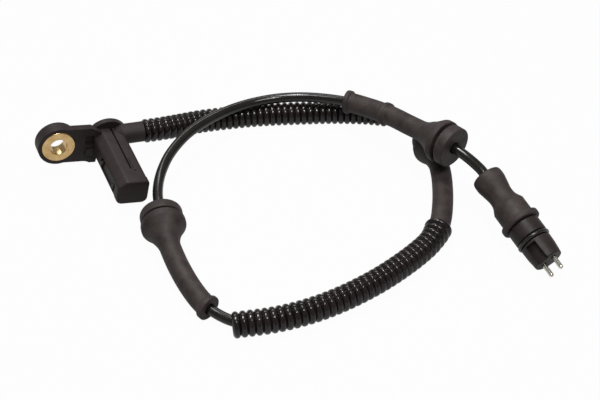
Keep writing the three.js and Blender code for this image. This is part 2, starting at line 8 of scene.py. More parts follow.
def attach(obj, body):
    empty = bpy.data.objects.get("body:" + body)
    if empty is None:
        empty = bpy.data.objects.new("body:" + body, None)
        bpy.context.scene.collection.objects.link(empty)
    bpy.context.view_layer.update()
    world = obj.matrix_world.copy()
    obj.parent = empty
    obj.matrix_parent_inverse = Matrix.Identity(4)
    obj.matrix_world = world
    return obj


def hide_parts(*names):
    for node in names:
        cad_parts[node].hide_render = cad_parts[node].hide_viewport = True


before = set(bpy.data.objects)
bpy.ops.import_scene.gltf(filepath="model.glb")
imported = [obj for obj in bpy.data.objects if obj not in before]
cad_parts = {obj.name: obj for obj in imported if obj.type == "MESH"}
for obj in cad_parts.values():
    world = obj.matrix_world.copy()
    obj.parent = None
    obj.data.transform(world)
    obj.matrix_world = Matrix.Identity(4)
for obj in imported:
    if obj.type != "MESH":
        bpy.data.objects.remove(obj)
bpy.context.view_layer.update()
MM = 0.001
scene = bpy.context.scene


def aimed(name, data, place, target):
    """An object placed in the scene so that it looks at a target."""
    piece = bpy.data.objects.new(name, data)
    piece.location = place
    piece.rotation_mode = "QUATERNION"
    piece.rotation_quaternion = (target - place).to_track_quat("-Z", "Y")
    scene.collection.objects.link(piece)
    return piece


# Camera
CAMERA_TARGET = Vector((0.0777, -0.045, 0.0))
CAMERA_AZIMUTH = math.radians(-22.5)
CAMERA_ELEVATION = math.radians(41.0)
CAMERA_DISTANCE = 0.65185
camera_data = bpy.data.cameras.new("camera")
camera_data.sensor_width = 36.0
camera_data.lens = 84.0
camera_data.clip_start = 0.01
camera_data.clip_end = 10.0
towards_camera = Vector((
    math.sin(CAMERA_AZIMUTH) * math.cos(CAMERA_ELEVATION),
    -math.cos(CAMERA_AZIMUTH) * math.cos(CAMERA_ELEVATION),
    math.sin(CAMERA_ELEVATION),
))
camera_place = CAMERA_TARGET + towards_camera * CAMERA_DISTANCE
scene.camera = aimed("camera", camera_data, camera_place, CAMERA_TARGET)

# Fits and roundings. The pieces' sizes are in millimetres, their smooth angles in degrees
GAP = 0.3
FIT = 0.1
JOINT = 0.05
OVERSHOOT = 1.0
EDGE_ROUND = 0.55
CORNER_SHARE = 0.45
ON_AXIS = 1e-6
MERGE_DISTANCE = 1e-4
SMOOTH_ANGLE = 35

# Sensor head
EAR_PITCH = 24.2
BOSS_RADIUS = 9.8
BOSS_THICKNESS = 6.2
WEB_THICKNESS = 3.6
WEB_HALF = 9.3
WEB_OVERLAP = 0.3
WEB_FOOT_DEPTH = 1.0
WEB_FOOT_START = 4.4
WEB_FOOT_BEND = 2.6
WEB_FOOT_END = 1.0
WEB_FOOT_UNDER = 2.2
WEB_ROOT_UNDER = 2.8
WEB_ROOT_SINK = 0.5
WEB_TOP_UNDER = 1.5
BUSH_RADIUS = 8.0
BUSH_HOLE_RADIUS = 4.0
BUSH_PROUD = 0.25
BUSH_ROUND = 0.5
HEAD_ROLL = math.radians(12.5)
NECK_TURN = math.radians(5.1)
FLANGE_RADIUS = 10.4
FLANGE_THICKNESS = 2.9
FLANGE_SHIFT = 0.9
TOWER_LENGTH = 41.8
TOWER_LEFT = 7.4
TOWER_RIGHT = 7.3
TOWER_TOP = 6.7
TOWER_BOTTOM = 5.5
RIDGE_WIDTH = 4.1
RIDGE_HEIGHT = 3.1
RIDGE_ROUND = 1.4
RIDGE_GUIDE = 2.0
TOWER_TOP_ROUND = 2.3
TOWER_FOOT_ROUND = 2.8
HOUSING_EDGE = 0.3
CAP_THICKNESS = 4.2
CAP_PROUD = 0.15
CAP_ROUND = 1.1
CAP_ROUND_STEPS = 6
CAP_STEP_DEPTH = 0.4
CAP_STEP_HEIGHT = 0.6
CAP_EDGE = 0.12
NECK_RADIUS = 4.9
NECK_LENGTH = 17.2
NECK_DEPTH = 4.9
NECK_LIFT = 3.55
NECK_ROOT_RADIUS = 3.2
NECK_ROOT_START = 3.4
NECK_ROOT_END = 6.4
NECK_OVERLAP = 0.01
SPIGOT_LENGTH = 6.75
SPIGOT_PLAY = 0.15
SLOT_WIDTH = 1.1
SLOT_DEPTH = 1.3
SLOT_PLACE = 1.2
SLOT_END_MARGIN = 6.2
TOP_RIB_WIDTH = 0.8
TOP_RIB_HEIGHT = 0.35
TOP_RIB_LENGTH = 9.0
TOP_RIB_PLACE = 2.9
TOP_RIB_PAST_SLOT = 1.5
PANEL_DEPTH = 0.8
PANEL_FRONT = -40.6
PANEL_BACK = -19.0
PANEL_BOTTOM = -3.3
PANEL_TOP = 2.9
PANEL_ROUND = 2.6
PIP_RADIUS = 1.2
PIP_PROUD = 0.5
PIP_INSET = 1.9
PIP_ROOT = 0.2
POCKET_SIZE = (4.2, 1.8, 5.2)
POCKET_PLACE = (-9.4, 2.6)
BLOCK_SIZE = (3.8, 1.2, 3.4)
BLOCK_PLACE = (-9.2, -3.9)

# Cable and conduits
CABLE_RADIUS = 2.4
CABLE_GRIP = 8.0
CABLE_STEP = 1.5
PLUG_LEAD = 2.5
SPLINE_STEPS = 24
DIRECTION_REACH = 3
CONDUIT_RADIUS = 5.7
CONDUIT_ROOT_RADIUS = 4.6
CONDUIT_BORE = 4.25
CONDUIT_WALL = 0.42
CONDUIT_PITCH = 3.1
RIB_STEPS = 12
RIB_FULLNESS = 1.1
RIB_ROUNDNESS = 0.42
RIB_SMOOTH_ANGLE = 60
CONDUIT_ONE_LENGTH = 124.0
CONDUIT_TWO_LENGTH = 113.0
CONDUIT_TWO_STRAIGHT = 10.0
CONDUIT_FLARE = 0.7
FLARE_LENGTH = 9.0
SLIT_WIDTH = 0.15
SLIT_ANGLE = math.radians(-35)
LIFT_OUT = 9

# Grommets
DISC_RADIUS = 9.7
DISC_THICKNESS = 4.6
DISC_MOUTH = 0.5
DISC_MOUTH_DEPTH = 1.0
GROOVE_RADIUS = 7.0
GROOVE_WIDTH = 1.4
RIM_RADIUS = 10.2
RIM_WIDTH = 2.8
CONE_LENGTH = 12.5
CONE_STEPS = 12
CONE_HOLLOW = 1.7
TUBE_RADIUS = 4.8
TUBE_LEAD = 1.0
END_RADIUS = 5.7
END_WIDTH = 2.2
RING_SLOPE = 0.6
INSERT = 7.0
INSERT_ROOT_OVER = 0.1
INSERT_TIP_UNDER = 0.45
GROMMET_LENGTH = 60.5
LONG_GROMMET_LENGTH = 69.0
MID_RING_FROM_END = 22.0
MID_RING_WIDTH = 2.2
MID_RING_HEIGHT = 0.8
BEND_STEP = 1.2
BARE_ONE = 32.0
BARE_TWO = 12.0
BARE_THREE = 143.8

# Plug
BULB_RADIUS = 7.3
BULB_CENTRE = 5.3
BOOT_NECK_RADIUS = 5.85
BOOT_NECK_AT = 12.5
SHOULDER_RADIUS = 7.7
SHOULDER_AT = 19.2
SHOULDER_DRAFT = 0.05
SHOULDER_RUN = 1.0
RING_RADIUS = 9.3
RING_WIDTH = 2.8
RING_ROUND = 0.9
BOOT_FACE = 0.9
BOOT_MOUTH = 0.8
BOOT_MOUTH_DEPTH = 2.0
BOOT_LENGTH = 29.8
BOOT_WALL = 1.8
BOOT_GRIP = 10.5
BOOT_LIP = 6.0
BOOT_CAVITY = 7.5
BODY_BACK = 7.0
COLLAR_RADIUS = 7.65
COLLAR_LENGTH = 7.2
SEAL_RADIUS = 0.95
SEAL_OUTER_RADIUS = 8.0
NOSE_RADIUS = 7.3
NOSE_TIP_RADIUS = 6.6
NOSE_LENGTH = 10.3
NOSE_DRAFT = 0.1
NOSE_DRAFT_SHARE = 0.45
KEY_WIDTH = 5.4
KEY_DEPTH = 3.0
KEY_SHOULDER = 1.2
KEY_ANGLE = math.radians(38)
PIN_RADIUS = 1.05
PIN_SPACING = 5.7
PIN_REACH = 6.5
PIN_TIP = 1.2
PIN_TIP_STEPS = 8
PIN_DEPTH = 9.0
SOCKET_DEPTH = 8.5

# The head's own frame: x from the ear to the neck, -y along the tower, rolled as the head lies
neck_tilt = HEAD_ROLL - NECK_TURN
spigot_radius = CONDUIT_BORE - GAP - SPIGOT_PLAY
left_reach = EAR_PITCH * math.cos(HEAD_ROLL) + BOSS_RADIUS
right_reach = (
    (NECK_LENGTH + SPIGOT_LENGTH) * math.cos(neck_tilt)
    + (NECK_LIFT + spigot_radius) * math.sin(neck_tilt)
)
cap_front = -TOWER_LENGTH - CAP_THICKNESS
head_place = ((left_reach - right_reach) / 2, (-cap_front - BUSH_PROUD) / 2, FLANGE_RADIUS)
HEAD = Matrix.Translation(head_place) @ Matrix.Rotation(HEAD_ROLL, 4, "Y")
EAR = HEAD @ Matrix.Translation((-EAR_PITCH, 0, 0))
neck_turn = Matrix.Rotation(-NECK_TURN, 4, "Y")
NECK = HEAD @ neck_turn @ Matrix.Translation((0, -NECK_DEPTH, NECK_LIFT))

# The plug's own frame: y from the boot's mouth to the pins
PLUG_START = Vector((151.7, -84.1, 22.0))
PLUG_TIP = Vector((159.6, -131.2, 6.7))
plug_axis = (PLUG_TIP - PLUG_START).normalized()
plug_up = (Vector((0, 0, 1)) - plug_axis * plug_axis.z).normalized()
plug_side = plug_axis.cross(plug_up)
plug_turn = Matrix((plug_side, plug_axis, plug_up)).transposed().to_4x4()
PLUG = Matrix.Translation(PLUG_START) @ plug_turn

# Harness route from the neck to the plug, in metres
ROUTE_POINTS = [
    (0.0326, 0.0181, 0.0103), (0.0376, 0.0189, 0.0092), (0.0442, 0.0201, 0.0078),
    (0.0519, 0.0208, 0.0067), (0.059, 0.0203, 0.0061), (0.0659, 0.0191, 0.0059),
    (0.0756, 0.0169, 0.0059), (0.0879, 0.0133, 0.0059), (0.1006, 0.0089, 0.0059),
    (0.1102, 0.0055, 0.0059), (0.1194, 0.0018, 0.0059), (0.1304, -0.0034, 0.0059),
    (0.1396, -0.0093, 0.006), (0.145, -0.0155, 0.0072), (0.148, -0.0228, 0.0089),
    (0.1493, -0.0306, 0.01), (0.1485, -0.0392, 0.0103), (0.1459, -0.0478, 0.0103),
    (0.1437, -0.0556, 0.0096), (0.1413, -0.0635, 0.0085), (0.1381, -0.0712, 0.0075),
    (0.134, -0.0794, 0.0071), (0.1286, -0.0885, 0.0068), (0.1235, -0.0948, 0.0064),
    (0.1174, -0.0998, 0.006), (0.1096, -0.104, 0.0059), (0.0994, -0.1084, 0.0059),
    (0.0881, -0.1124, 0.0059), (0.0772, -0.1153, 0.0059), (0.0668, -0.1173, 0.0059),
    (0.057, -0.1184, 0.0059), (0.0477, -0.1186, 0.0059), (0.0387, -0.118, 0.0059),
    (0.0302, -0.1166, 0.0059), (0.0246, -0.1148, 0.0057), (0.02, -0.1113, 0.0054),
    (0.0163, -0.1066, 0.0054), (0.0128, -0.1005, 0.0059), (0.011, -0.0948, 0.0064),
    (0.0098, -0.0882, 0.007), (0.0091, -0.0817, 0.0076), (0.0087, -0.0741, 0.0083),
    (0.0087, -0.0666, 0.0091), (0.0091, -0.059, 0.0098), (0.0102, -0.0499, 0.0105),
    (0.0116, -0.0413, 0.0108), (0.013, -0.034, 0.0109), (0.015, -0.0265, 0.0107),
    (0.018, -0.0191, 0.0107), (0.0222, -0.0119, 0.0112), (0.0276, -0.0053, 0.0124),
    (0.0342, 0.0002, 0.0138), (0.0408, 0.0043, 0.0149), (0.0482, 0.0078, 0.0154),
    (0.0566, 0.0112, 0.0153), (0.0674, 0.0146, 0.0146), (0.0788, 0.0159, 0.0141),
    (0.0902, 0.0144, 0.0143), (0.1011, 0.01, 0.015), (0.1104, 0.0036, 0.016),
    (0.1194, -0.0046, 0.017), (0.1253, -0.0127, 0.0179), (0.1296, -0.0202, 0.019),
    (0.1328, -0.0284, 0.0205), (0.1356, -0.0388, 0.0226), (0.1387, -0.0492, 0.0246),
    (0.1418, -0.0583, 0.026), (0.1451, -0.0671, 0.0264), (0.1475, -0.0727, 0.0256),
    (0.1496, -0.0774, 0.0243),
]
in_neck = (NECK_LENGTH - CABLE_GRIP, NECK_LENGTH, NECK_LENGTH + SPIGOT_LENGTH)
in_plug = (-PLUG_LEAD, 0, BOOT_GRIP / 2, BOOT_GRIP)
knots = [
    *[HEAD @ (neck_turn @ Vector((x, -NECK_DEPTH, NECK_LIFT))) for x in in_neck],
    *[Vector(point) / MM for point in ROUTE_POINTS],
    *[PLUG_START + y * plug_axis for y in in_plug],
]


def centripetal(points, steps):
    """Points along the centripetal spline through these ones."""
    ends = [2 * points[0] - points[1], *points, 2 * points[-1] - points[-2]]
    line = []
    for before, start, end, after in zip(ends, ends[1:], ends[2:], ends[3:]):
        first = (start - before).length ** 0.5
        middle = (end - start).length ** 0.5
        last = (after - end).length ** 0.5
        chord = (end - start) / middle
        out = ((start - before) / first - (end - before) / (first + middle) + chord) * middle
        into = (chord - (after - start) / (middle + last) + (after - end) / last) * middle
        for step in range(steps):
            t = step / steps
            line.append(
                start * (2 * t**3 - 3 * t**2 + 1)
                + out * (t**3 - 2 * t**2 + t)
                + end * (-2 * t**3 + 3 * t**2)
                + into * (t**3 - t**2)
            )
    return [*line, points[-1].copy()]


route = centripetal(knots, SPLINE_STEPS)
reach = [0.0]
for start, end in zip(route, route[1:]):
    reach.append(reach[-1] + (end - start).length)


def frame_at(station):
    """Place, side and rise of the route at a distance from the neck's mouth, in millimetres."""
    wanted = station + CABLE_GRIP
    low, high = 0, len(reach) - 1
    while high - low > 1:
        middle = (low + high) // 2
        if reach[middle] <= wanted:
            low = middle
        else:
            high = middle
    share = (wanted - reach[low]) / (reach[high] - reach[low])
    point = route[low].lerp(route[high], share)
    before = route[max(low - DIRECTION_REACH, 0)]
    after = route[min(high + DIRECTION_REACH, len(route) - 1)]
    along = (after - before).normalized()
    side = along.cross(Vector((0, 0, 1))).normalized()
    return point, side, side.cross(along)


def straight_after(last):
    """The route's frame, carried straight on beyond a station."""

    def guide(station):
        point, side, rise = frame_at(min(station, last))
        return point + rise.cross(side) * max(0.0, station - last), side, rise

    return guide


def along_route(station, direction, guide=frame_at):
    """Maps a turned piece's points onto the route, from a station on or back."""
    frames = {}

    def place(local):
        key = round(local[1], 4)
        if key not in frames:
            frames[key] = guide(station + direction * local[1])
        point, side, rise = frames[key]
        return point + side * (direction * local[0]) + rise * local[2]

    return place


def in_frame(matrix):
    """Maps a turned piece's points into a rigid frame."""
    return lambda local: matrix @ Vector(local)


# Free cable
cable_curve = bpy.data.curves.new("cable_skin_run", "CURVE")
cable_curve.dimensions = "3D"
cable_curve.bevel_depth = CABLE_RADIUS * MM
cable_curve.bevel_resolution = 8
cable_curve.use_fill_caps = True
cable_steps = int((reach[-1] - CABLE_GRIP) / CABLE_STEP)
cable_points = [frame_at(step * CABLE_STEP)[0] * MM for step in range(cable_steps + 1)]
spline = cable_curve.splines.new("POLY")
spline.points.add(len(cable_points) - 1)
for spot, point in zip(spline.points, cable_points):
    spot.co = (*point, 1.0)
spline.use_smooth = True
cable = bpy.data.objects.new("cable_run", cable_curve)
scene.collection.objects.link(cable)
cable_length = sum((end - start).length for start, end in zip(cable_points, cable_points[1:]))


# Outlines
def arc(x, y, radius, start, end, steps=8):
    """Points of an arc between two angles in degrees."""
    angles = [math.radians(start + (end - start) * step / steps) for step in range(steps + 1)]
    return [(x + radius * math.cos(angle), y + radius * math.sin(angle)) for angle in angles]


def circle(x, y, radius, sides):
    """Points of a full circle, each once."""
    return arc(x, y, radius, 0, 360 - 360 / sides, sides - 1)


def bend(start, corner, end, steps):
    """Points of a round bend that is drawn towards its corner."""
    start, corner, end = Vector(start), Vector(corner), Vector(end)
    line = []
    for step in range(steps + 1):
        t = step / steps
        line.append(tuple(start * (1 - t) ** 2 + corner * 2 * t * (1 - t) + end * t**2))
    return line


def rounded(outline, radius, steps=4, keep_axis=True):
    """Rounds the corners of a closed outline, but not those on the axis of a turned piece."""
    result = []
    for index, corner in enumerate(outline):
        corner = Vector(corner)
        to_before = Vector(outline[index - 1]) - corner
        to_after = Vector(outline[(index + 1) % len(outline)]) - corner
        if (keep_axis and corner.x < ON_AXIS) or min(to_before.length, to_after.length) < ON_AXIS:
            result.append(tuple(corner))
            continue
        cut_back = min(radius, to_before.length * CORNER_SHARE, to_after.length * CORNER_SHARE)
        start = corner + to_before.normalized() * cut_back
        end = corner + to_after.normalized() * cut_back
        result += bend(start, corner, end, steps)
    return result


def rounded_run(points, radius, steps=4):
    """Rounds the inner corners of an open run; its first and last points only guide it."""
    return rounded(points, radius, steps, keep_axis=False)[steps + 1:-steps - 1]


def split(outline, step):
    """Splits the long runs of a closed outline, so that it can bend."""
    result = []
    for index, start in enumerate(outline):
        end = outline[(index + 1) % len(outline)]
        parts = max(1, math.ceil(abs(end[1] - start[1]) / step))
        for part in range(parts):
            t = part / parts
            result.append((start[0] + (end[0] - start[0]) * t, start[1] + (end[1] - start[1]) * t))
    return result


def smooth_run(stations, steps=6):
    """A flowing line through (radius, y) stations."""
    points = [Vector((radius, y, 0)) for radius, y in stations]
    return [(point.x, point.y) for point in centripetal(points, steps)]


# Meshes
def mark_edges(mesh, smooth_angle=SMOOTH_ANGLE):
    """Keeps the edges sharp that turn by more than an angle in degrees."""
    grid = bmesh.new()
    grid.from_mesh(mesh)
    for edge in grid.edges:
        edge.smooth = edge.is_manifold and edge.calc_face_angle(0) < math.radians(smooth_angle)
    grid.to_mesh(mesh)
    grid.free()


def finished(name, points, faces, smooth_angle=SMOOTH_ANGLE):
    """An object from points in millimetres, with smooth faces that look outwards."""
    mesh = bpy.data.meshes.new(name)
    mesh.from_pydata([tuple(point * MM) for point in points], [], faces)
    mesh.update()
    grid = bmesh.new()
    grid.from_mesh(mesh)
    bmesh.ops.remove_doubles(grid, verts=grid.verts, dist=MERGE_DISTANCE * MM)
    bmesh.ops.recalc_face_normals(grid, faces=grid.faces)
    for face in grid.faces:
        face.smooth = True
    grid.to_mesh(mesh)
    grid.free()
    mark_edges(mesh, smooth_angle)
    piece = bpy.data.objects.new(name, mesh)
    scene.collection.objects.link(piece)
    return piece


def turned(name, outline, sides, place):
    """A piece turned about Y from a closed outline; place maps its points into the scene."""
    points, faces = [], []
    count = len(outline)
    for side in range(sides):
        angle = math.tau * side / sides
        points += [place((radius * math.sin(angle), y, radius * math.cos(angle))) for radius, y in outline]
    for side in range(sides):
        base = side * count
        ahead = (side + 1) % sides * count
        for index in range(count):
            after = (index + 1) % count
            starts_on_axis = outline[index][0] < ON_AXIS
            ends_on_axis = outline[after][0] < ON_AXIS
            if starts_on_axis and ends_on_axis:
                continue
            if starts_on_axis:
                faces.append((base + index, base + after, ahead + after))
            elif ends_on_axis:
                faces.append((base + index, base + after, ahead + index))
            else:
                faces.append((base + index, base + after, ahead + after, ahead + index))
    return finished(name, points, faces)


def cylinder(name, matrix, radius, y0, y1, sides, start_radius=None):
    """A cylinder or cone about the Y axis of a frame."""
    outline = [(0.0, y0), (start_radius or radius, y0), (radius, y1), (0.0, y1)]
    return turned(name, outline, sides, in_frame(matrix))


def loft(name, rings):
    """A shape carried through rings of points of one count, with flat ends."""
    count = len(rings[0])
    last = (len(rings) - 1) * count
    faces = [tuple(range(count)), tuple(range(last + count - 1, last - 1, -1))]
    for base in range(0, last, count):
        for index in range(count):
            after = (index + 1) % count
            faces.append((base + index, base + count + index, base + count + after, base + after))
    return finished(name, [point for ring in rings for point in ring], faces)


def head_ring(outline, y):
    """An outline in x, z at one place along the head's y."""
    return [HEAD @ Vector((x, y, z)) for x, z in outline]


def prism(outline, y0, y1):
    """A shape in the head's x, z, carried from y0 to y1."""
    return loft("tool", [head_ring(outline, y) for y in (y0, y1)])


def side_prism(outline, x0, x1):
    """A shape in the head's y, z, carried from x0 to x1."""
    return loft("tool", [[HEAD @ Vector((x, y, z)) for y, z in outline] for x in (x0, x1)])


def sweep(line, radius, sides=28):
    """A round section along a line of points."""
    rings = []
    for index, point in enumerate(line):
        along = (line[min(index + 1, len(line) - 1)] - line[max(index - 1, 0)]).normalized()
        side = along.cross(Vector((0, 0, 1))).normalized()
        rise = side.cross(along)
        rings.append([point + side * across + rise * up for across, up in circle(0, 0, radius, sides)])
    return loft("tool", rings)


def box(size, matrix):
    """A box about the middle of a frame."""
    x, y, z = (value / 2 for value in size)
    corners = [matrix @ Vector((i, j, k)) for i in (-x, x) for j in (-y, y) for k in (-z, z)]
    faces = [(0, 1, 3, 2), (4, 6, 7, 5), (0, 4, 5, 1), (2, 3, 7, 6), (0, 2, 6, 4), (1, 5, 7, 3)]
    return finished("tool", corners, faces)


def apply(piece, modifier):
    """Turns a modifier's result into the piece's own mesh."""
    with bpy.context.temp_override(object=piece, active_object=piece, selected_objects=[piece]):
        bpy.ops.object.modifier_apply(modifier=modifier.name)


def combine(piece, tool, operation):
    """Joins a tool to a piece or cuts it out, and uses the tool up."""
    modifier = piece.modifiers.new(operation.lower(), "BOOLEAN")
    modifier.operation = operation
    modifier.solver = "EXACT"
    modifier.object = tool
    apply(piece, modifier)
    bpy.data.objects.remove(tool)
    mark_edges(piece.data)


def add(piece, tool):
    combine(piece, tool, "UNION")


def cut(piece, tool):
    combine(piece, tool, "DIFFERENCE")


def soften(piece, width, angle=30, segments=3):
    """Rounds the sharp edges of a piece a little."""
    bevel = piece.modifiers.new("edges", "BEVEL")
    bevel.width = width * MM
    bevel.segments = segments
    bevel.limit_method = "ANGLE"
    bevel.angle_limit = math.radians(angle)
    bevel.harden_normals = True
    apply(piece, bevel)


# Conduits
conduit_two_start = CONDUIT_ONE_LENGTH + BARE_ONE + GROMMET_LENGTH
conduit_two_end = conduit_two_start + CONDUIT_TWO_LENGTH
grommet_one_disc = conduit_two_end + BARE_TWO + GROMMET_LENGTH
grommet_two_disc = grommet_one_disc + BARE_THREE + LONG_GROMMET_LENGTH


def rib_radius(phase):
    """Outer radius of the wall through one pitch: a full round crest and a narrow valley."""
    wave = 0.5 - 0.5 * math.cos(math.tau * phase)
    height = min(1.0, RIB_FULLNESS * wave**RIB_ROUNDNESS)
    return CONDUIT_ROOT_RADIUS + (CONDUIT_RADIUS - CONDUIT_ROOT_RADIUS) * height


def conduit(name, length, station, flare=0.0, slit=0.0, guide=frame_at, sides=44):
    """A corrugated tube along the route, widened at its start and slit open where asked."""
    steps = round(length / CONDUIT_PITCH) * RIB_STEPS
    place = along_route(station, 1, guide)
    half_slit = slit / 2 / CONDUIT_RADIUS
    span = math.tau - 2 * half_slit
    runs = sides - 1 if slit else sides
    points, faces = [], []
    for step in range(steps + 1):
        y = length * step / steps
        outer = rib_radius(step / RIB_STEPS) + flare * max(0.0, 1 - y / FLARE_LENGTH)
        for radius in (outer, outer - CONDUIT_WALL):
            for index in range(sides):
                angle = SLIT_ANGLE + half_slit + span * index / runs
                points.append(place((radius * math.sin(angle), y, radius * math.cos(angle))))
    ring = 2 * sides
    for base in range(0, steps * ring, ring):
        ahead = base + ring
        for index in range(runs):
            after = (index + 1) % sides
            faces.append((base + index, base + after, ahead + after, ahead + index))
            inner, inner_after = sides + index, sides + after
            faces.append((base + inner, ahead + inner, ahead + inner_after, base + inner_after))
        if slit:
            last = sides - 1
            faces.append((base, ahead, ahead + sides, base + sides))
            faces.append((base + last, base + sides + last, ahead + sides + last, ahead + last))
    for base in (0, steps * ring):
        for index in range(runs):
            after = (index + 1) % sides
            faces.append((base + index, base + sides + index, base + sides + after, base + after))
    return finished(name, points, faces, RIB_SMOOTH_ANGLE)


conduit_one = conduit("conduit_1_skin", CONDUIT_ONE_LENGTH - GAP, GAP)
conduit_two = conduit(
    "conduit_2_skin",
    CONDUIT_TWO_LENGTH,
    conduit_two_start,
    CONDUIT_FLARE,
    SLIT_WIDTH,
    straight_after(conduit_two_end - CONDUIT_TWO_STRAIGHT),
)
# The cable climbs out of the second conduit through its slit
lift_out = [frame_at(conduit_two_end + shift)[0] for shift in range(-LIFT_OUT, LIFT_OUT)]
cut(conduit_two, sweep(lift_out, CABLE_RADIUS + GAP))


# Rubber grommets
def grommet_outline(length, plain_end=False, mid_ring=False):
    """Disc, groove, rim, hollow cone and tube, from the disc's face to the tube's end."""
    bore = CABLE_RADIUS + FIT
    groove_end = DISC_THICKNESS + GROOVE_WIDTH
    cone_start = groove_end + RIM_WIDTH
    outline = [
        (bore + DISC_MOUTH, 0),
        (DISC_RADIUS, 0),
        (DISC_RADIUS, DISC_THICKNESS),
        (GROOVE_RADIUS, DISC_THICKNESS),
        (GROOVE_RADIUS, groove_end),
        (RIM_RADIUS, groove_end),
    ]
    for step in range(CONE_STEPS + 1):
        t = step / CONE_STEPS
        radius = TUBE_RADIUS + (RIM_RADIUS - TUBE_RADIUS) * (1 - t) ** CONE_HOLLOW
        outline.append((radius, cone_start + t * CONE_LENGTH))
    outline.append((TUBE_RADIUS, cone_start + CONE_LENGTH + TUBE_LEAD))
    if mid_ring:
        ring_end = length - MID_RING_FROM_END
        outline += [
            (TUBE_RADIUS, ring_end - MID_RING_WIDTH - RING_SLOPE),
            (TUBE_RADIUS + MID_RING_HEIGHT, ring_end - MID_RING_WIDTH),
            (TUBE_RADIUS + MID_RING_HEIGHT, ring_end),
            (TUBE_RADIUS, ring_end + RING_SLOPE),
        ]
    if plain_end:
        outline += [
            (TUBE_RADIUS, length - INSERT - TUBE_LEAD),
            (CONDUIT_BORE + INSERT_ROOT_OVER, length - INSERT),
            (CONDUIT_BORE - INSERT_TIP_UNDER, length),
        ]
    else:
        outline += [
            (TUBE_RADIUS, length - END_WIDTH - RING_SLOPE),
            (END_RADIUS, length - END_WIDTH),
            (END_RADIUS, length),
        ]
    outline += [(bore, length), (bore, DISC_MOUTH_DEPTH)]
    return split(rounded(outline, EDGE_ROUND), BEND_STEP)


def grommet(name, outline, disc_station, direction):
    """A grommet whose tube leads on along the route, or back, from its disc."""
    return turned(name, outline, 64, along_route(disc_station, direction))


inserted_outline = grommet_outline(GROMMET_LENGTH + INSERT, plain_end=True)
ringed_outline = grommet_outline(LONG_GROMMET_LENGTH, mid_ring=True)
grommets = [
    grommet("grommet_3_skin", inserted_outline, CONDUIT_ONE_LENGTH + BARE_ONE, 1),
    grommet("grommet_1_skin", grommet_outline(GROMMET_LENGTH), grommet_one_disc, -1),
    grommet("grommet_2_skin", ringed_outline, grommet_two_disc, -1),
]

# Plug
collar_start = BOOT_LENGTH + GAP
collar_end = collar_start + COLLAR_LENGTH
seal_end = collar_end + 2 * SEAL_RADIUS + 2 * GAP
nose_end = seal_end + NOSE_LENGTH
seal_centre = SEAL_OUTER_RADIUS - SEAL_RADIUS
boot_bore = SHOULDER_RADIUS - BOOT_WALL


def plug_boot():
    """The rubber boot, with a bulb at the cable, a neck, a shoulder and an end ring."""
    outside = smooth_run([
        (BULB_RADIUS - 1.6, BOOT_FACE),
        (BULB_RADIUS - 0.55, BOOT_FACE + 0.5),
        (BULB_RADIUS - 0.2, BOOT_FACE + 2.0),
        (BULB_RADIUS - 0.2, BULB_CENTRE),
        (BULB_RADIUS - 0.6, BULB_CENTRE + 2.3),
        (BOOT_NECK_RADIUS + 0.42, BOOT_NECK_AT - 2.6),
        (BOOT_NECK_RADIUS, BOOT_NECK_AT),
        (BOOT_NECK_RADIUS + 0.22, SHOULDER_AT - 3.6),
        (SHOULDER_RADIUS - 0.75, SHOULDER_AT - 1.5),
        (SHOULDER_RADIUS, SHOULDER_AT),
    ])
    ring_start = BOOT_LENGTH - RING_WIDTH
    ring = rounded_run([
        (SHOULDER_RADIUS + SHOULDER_DRAFT, SHOULDER_AT + SHOULDER_RUN),
        (SHOULDER_RADIUS, ring_start),
        (RING_RADIUS, ring_start),
        (RING_RADIUS, BOOT_LENGTH),
        (boot_bore, BOOT_LENGTH),
        (boot_bore, BOOT_LENGTH - BOOT_LIP),
    ], RING_ROUND)
    outline = [
        (CABLE_RADIUS + BOOT_MOUTH, BOOT_FACE),
        *outside,
        *ring,
        (boot_bore, BOOT_LENGTH - BOOT_CAVITY),
        (BOOT_NECK_RADIUS - BOOT_WALL, BOOT_LENGTH - BOOT_CAVITY),
        (BOOT_NECK_RADIUS - BOOT_WALL, BOOT_GRIP + GAP),
        (CABLE_RADIUS + FIT, BOOT_GRIP + GAP),
        (CABLE_RADIUS + FIT, BOOT_MOUTH_DEPTH),
    ]
    return turned("plug_boot_skin", outline, 80, in_frame(PLUG))


def pin_frame(side):
    """The frame of one of the two pins, on either side of the plug's axis."""
    reach_out = side * PIN_SPACING / 2
    return PLUG @ Matrix.Translation((math.sin(KEY_ANGLE) * reach_out, 0, -math.cos(KEY_ANGLE) * reach_out))


def plug_body():
    """The insert with its collar, seal groove, keyed nose and pin sockets."""
    outline = rounded([
        (0.0, BOOT_LENGTH - BODY_BACK),
        (boot_bore - GAP, BOOT_LENGTH - BODY_BACK),
        (boot_bore - GAP, collar_start),
        (COLLAR_RADIUS, collar_start),
        (COLLAR_RADIUS, collar_end),
        (seal_centre - SEAL_RADIUS, collar_end),
        (seal_centre - SEAL_RADIUS, seal_end),
        (NOSE_RADIUS, seal_end),
        (NOSE_RADIUS - NOSE_DRAFT, seal_end + NOSE_DRAFT_SHARE * NOSE_LENGTH),
        (NOSE_TIP_RADIUS, nose_end),
        (0.0, nose_end),
    ], EDGE_ROUND)
    body = turned("plug_body_skin", outline, 96, in_frame(PLUG))
    key_place = (NOSE_RADIUS, nose_end - NOSE_LENGTH / 2 + KEY_SHOULDER, 0)
    key = PLUG @ Matrix.Rotation(-KEY_ANGLE, 4, "Y") @ Matrix.Translation(key_place)
    cut(body, box((2 * KEY_DEPTH, NOSE_LENGTH, KEY_WIDTH), key))
    for side in (-1, 1):
        ends = (nose_end - SOCKET_DEPTH, nose_end + OVERSHOOT)
        cut(body, cylinder("tool", pin_frame(side), PIN_RADIUS + GAP, *ends, sides=32))
    return body


